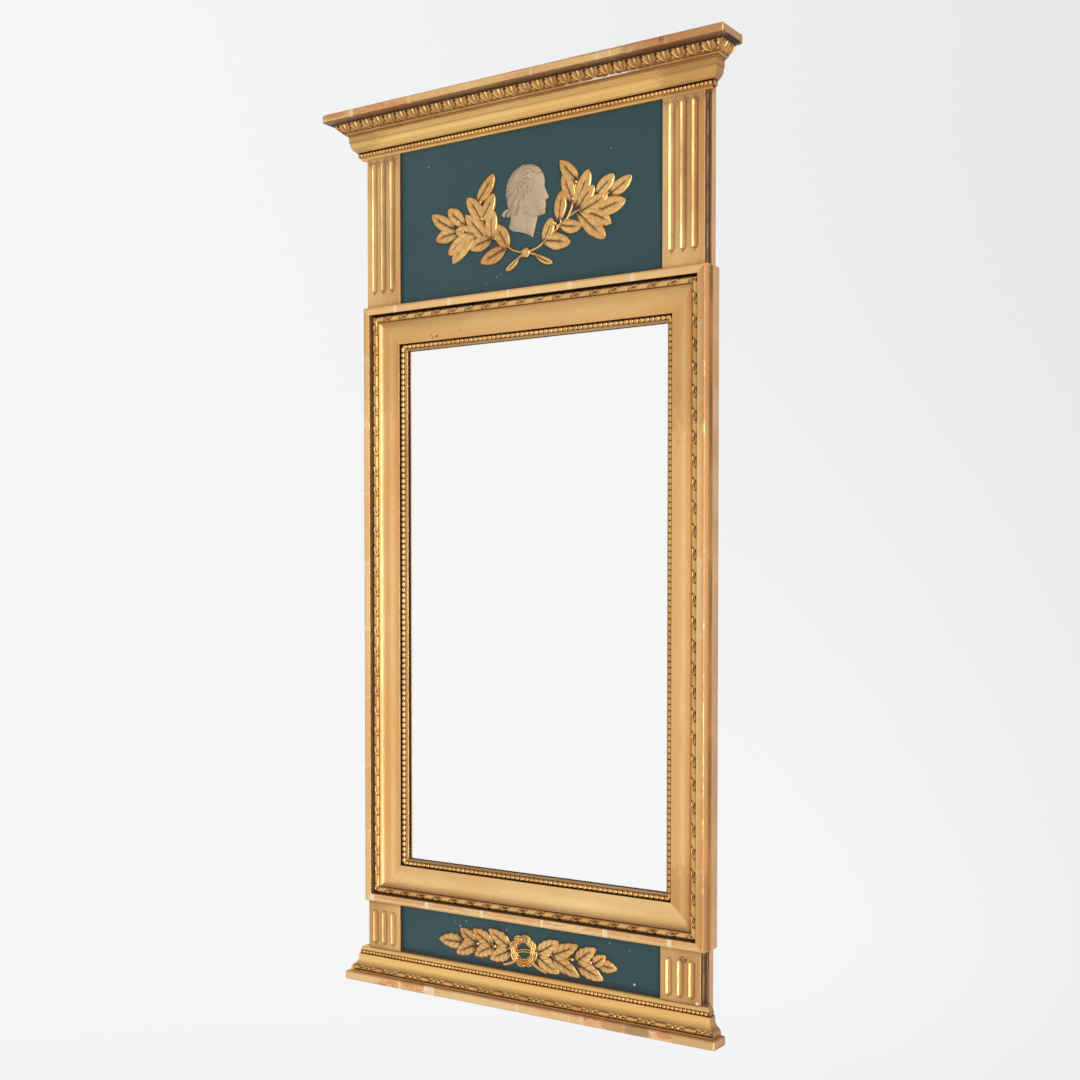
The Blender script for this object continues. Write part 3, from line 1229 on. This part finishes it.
def head_height(x, z, gap):
    """Height of the relief over the panel, and the dirt in it, at a point of the head."""
    rounded = 1.35 + 2.55 * (1 - (1 - min(1.0, gap / 11.0)) ** 2.3) ** 0.8
    hairline = x < 9.0 - 0.10 * (z - 30) + 0.016 * (z - 40) ** 2 * (z < 40) - 6.0 * (z < 26)
    hairline = hairline or z > 45.5 - 0.22 * (x - 10)
    in_hair = hairline and z > 4.5 - 0.35 * (x + 14) * (x < -4) and not (x > -3.5 and z < 24)
    h = rounded + sum(blob(x, z, *bump) for bump in bumps)
    soot = max(blob(x, z, *shade) for shade in shades)
    # under the jaw, and the muscle of the neck
    jaw = -0.5 + 0.42 * max(0.0, 14 - x)
    h -= 0.95 / (1 + exp(-(jaw - z) / 0.7)) * clip((x + 1) / 3)
    soot = max(soot, 0.35 * bell(((jaw - z) - 0.6) / 1.1) * (1 < x < 20))
    h += blob(x, z, 0.35, -3.0, -6.0, 2.4, 10.0, 28) * (z < 6)
    ear = hypot((x - 0.2 + 0.15 * (z - 23)) / 3.1, (z - 23.2) / 5.1)
    if ear < 1.25:
        h += 0.75 * bell((ear - 0.82) / 0.22) - 0.65 * bell(ear / 0.42)
        h += blob(x, z, 0.25, 0.9, 19.2, 1.2, 1.2, 0)
        soot = max(soot, 0.8 * bell(ear / 0.45), 0.5 * bell((ear - 1.13) / 0.10))
        in_hair = in_hair and ear > 1.1
    if in_hair:
        # locks combed back from the brow, over the crown and down to the nape
        dx, dz = x + 9.0, z - 44.0
        far = hypot(dx, dz)
        around = atan2(dz, dx) + 0.10 * sin(far * 0.30) + 0.02 * far
        lock = sin(17 * around + 1.3 * sin(far * 0.27 + 2 * around))
        strand = sin(53 * around + 1.1 * sin(far * 0.45 + 5 * around))
        ease = min(1.0, far / 9)
        h += 0.55 + (0.34 * lock + 0.17 * strand) * ease
        soot = max(soot, (0.55 * max(0.0, -lock) ** 2 + 0.35 * max(0.0, -strand) ** 2) * ease)
        for at_x, at_z, r in curls:
            curl = hypot(x - at_x, z - at_z) / r
            twist = sin(6.5 * curl - atan2(z - at_z, x - at_x))
            fade = max(0.0, 1 - (curl / 1.35) ** 3)
            h += 0.35 * fade * (0.5 + twist)
            soot = max(soot, 0.7 * fade * max(0.0, -twist))
    band = abs(z - (31.5 + 0.62 * x - 0.012 * x * x))
    if band < 1.5 and -23 < x < 17:
        flat = 1 - (band / 1.5) ** 4
        h = h * (1 - 0.5 * flat) + 0.5 * flat * (rounded + 0.95)
        soot = soot * (1 - flat)
    elif band < 2.0 and -23 < x < 17:
        soot = max(soot, 0.55)
    return min(4.9, max(0.6, h)), min(1.0, soot)


def distance_to_rim(x, z):
    best = 1e9
    for a, b in rim_edges:
        ex, ez = b.x - a.x, b.y - a.y
        t = clip(((x - a.x) * ex + (z - a.y) * ez) / (ex * ex + ez * ez + 1e-9))
        best = min(best, (x - a.x - ex * t) ** 2 + (z - a.y - ez * t) ** 2)
    return sqrt(best)


relief = Relief(panel_face)
levels, points_across = 150, 110
low_rim, high_rim = min(p.y for p in rim) + 0.05, max(p.y for p in rim) - 0.05
rows = []
for i in range(levels + 1):
    up = 0.5 - 0.5 * cos(pi * (0.04 + 0.92 * i / levels)) if 0 < i < levels else i / levels
    z = low_rim + (high_rim - low_rim) * up
    cuts = [a.x + (b.x - a.x) * (z - a.y) / (b.y - a.y) for a, b in rim_edges if (a.y > z) != (b.y > z)]
    left, right = min(cuts), max(cuts)
    row = [(left, head_chin + z, sunk, 1.0)]
    for j in range(points_across + 1):
        u = 0.5 - 0.5 * cos(pi * (0.06 + 0.88 * j / points_across))
        x = left + (right - left) * clip((u - 0.0089) / (1 - 0.0178))
        h, soot = head_height(x, z, distance_to_rim(x, z) if 0 < j < points_across else 0.0)
        row.append((x, head_chin + z, h, soot))
    rows.append(row + [(right, head_chin + z, sunk, 1.0)])
foot, crown = [[(x, z, sunk, 1.0) for x, z, h, soot in rows[i]] for i in (0, -1)]
relief.grid([foot] + rows + [crown])
nape_x, nape_z = -16.5, head_chin + 9.5
for path, taper in (
    (((0, 0), (-5, 1.5), (-10, -0.5), (-12.5, -4.5)), -1.0),
    (((0, 0), (-3.5, -1.5), (-6.5, -5.5)), -0.9),
):
    relief.stem([(nape_x + a, nape_z + b) for a, b in path], 2.4, taper, 1.8)
relief.make("plaster_head", "relief_head", plaster, 60)

# The wreath and its sprays: a small ring of leaves bound with two bars, with two ties below,
# and broad leaves running out from it both ways, pressed and gilded like the laurel above.
wreath_z = -873.8
plinth_face = 19.0
spray = {
    "left": [
        (-116, -376, -85, -376), (-86, -360, -65, -373), (-69, -359, -44, -374), (-47, -356, -20, -372),
        (-91, -389, -68, -377), (-66, -388, -43, -375), (-45, -389, -20, -376),
    ],
    "right": [
        (118, -377, 99, -375), (104, -364, 91, -375), (101, -391, 72, -379), (92, -358, 69, -376),
        (72, -392, 38, -376), (70, -358, 38, -373), (46, -392, 20, -377), (45, -357, 20, -373),
    ],
}
spray_berries = {"left": [-79, -61, -38], "right": [32, 63, 86]}
for side, hand in (("left", -1), ("right", 1)):
    relief = Relief(plinth_face)
    path = ((14, 0), (35, 0.4), (60, -0.3), (85, -1.0), (100, -1.8))
    relief.stem([(hand * a, wreath_z + b) for a, b in path], 2.6, 0.5)
    for number, (tx, tz, fx, fz) in enumerate(spray[side]):
        length = hypot(tx - fx, tz - fz)
        fx, fz = fx - (tx - fx) * 3 / length, fz - (tz - fz) * 1.5 / length
        relief.leaf(
            (fx, frame_mid + fz), (tx, frame_mid + tz), min(17.0, 8.4 + length * 0.31),
            draw.uniform(-0.8, 0.8), draw.uniform(-0.3, 0.3), 9, 3.3 + 0.3 * (number % 2),
            draw.uniform(-0.3, 0.3), 0.74, 0.40, 0.52, 0.05,
        )
    for x in spray_berries[side]:
        relief.berry(x, wreath_z - 0.2, 2.1, 3.6)
    relief.make("spray_" + side + "_leaves", "spray_" + side)

relief = Relief(plinth_face)
rows = []
for a in (tau * i / 96 for i in range(97)):
    row = []
    for j in range(13):
        b = pi * j / 12
        r = 12.6 + 4.6 * cos(b)
        dirt = 1.0 if j in (0, 12) else 0.55
        row.append((r * cos(a), wreath_z + r * sin(a) * 0.98, sunk + 2.1 * sin(b) ** 0.7, dirt))
    rows.append(row)
relief.grid(rows)


def on_wreath(r, a):
    return r * cos(a), wreath_z + r * sin(a)


for count, r0, r1, turn, wide, high in (
    (8, 14.0, 17.2, 0.95, 6.4, 3.1), (7, 12.0, 9.6, 1.0, 4.4, 3.0),
    (7, 11.6, 14.0, 0.95, 5.6, 3.8), (6, 15.0, 12.2, 0.95, 5.4, 4.1),
):
    for a in (tau * (i + 0.3 * wide) / count for i in range(count)):
        relief.leaf(on_wreath(r0, a), on_wreath(r1, a + turn), wide, -1.6, 0.1, 5, high, 0.0, 0.7, 0.05)
for a in (1.75, 3.6, 5.6):
    relief.berry(*on_wreath(13.0, a), 1.7, 4.0)
for path, thick, taper, high in (
    (((-8, -1.0), (0, 1.6), (8, 1.8)), 2.0, 0.0, 2.6),
    (((-8, -3.0), (0, -0.8), (8, -1.0)), 2.0, 0.0, 2.4),
    (((-10, -12), (-18, -16), (-27, -19)), 4.4, 0.25, 2.2),
    (((11, -12), (20, -17), (30, -20)), 4.4, 0.25, 2.2),
):
    relief.stem([(a, wreath_z + b) for a, b in path], thick, taper, high)
relief.make("wreath_ring", "wreath")
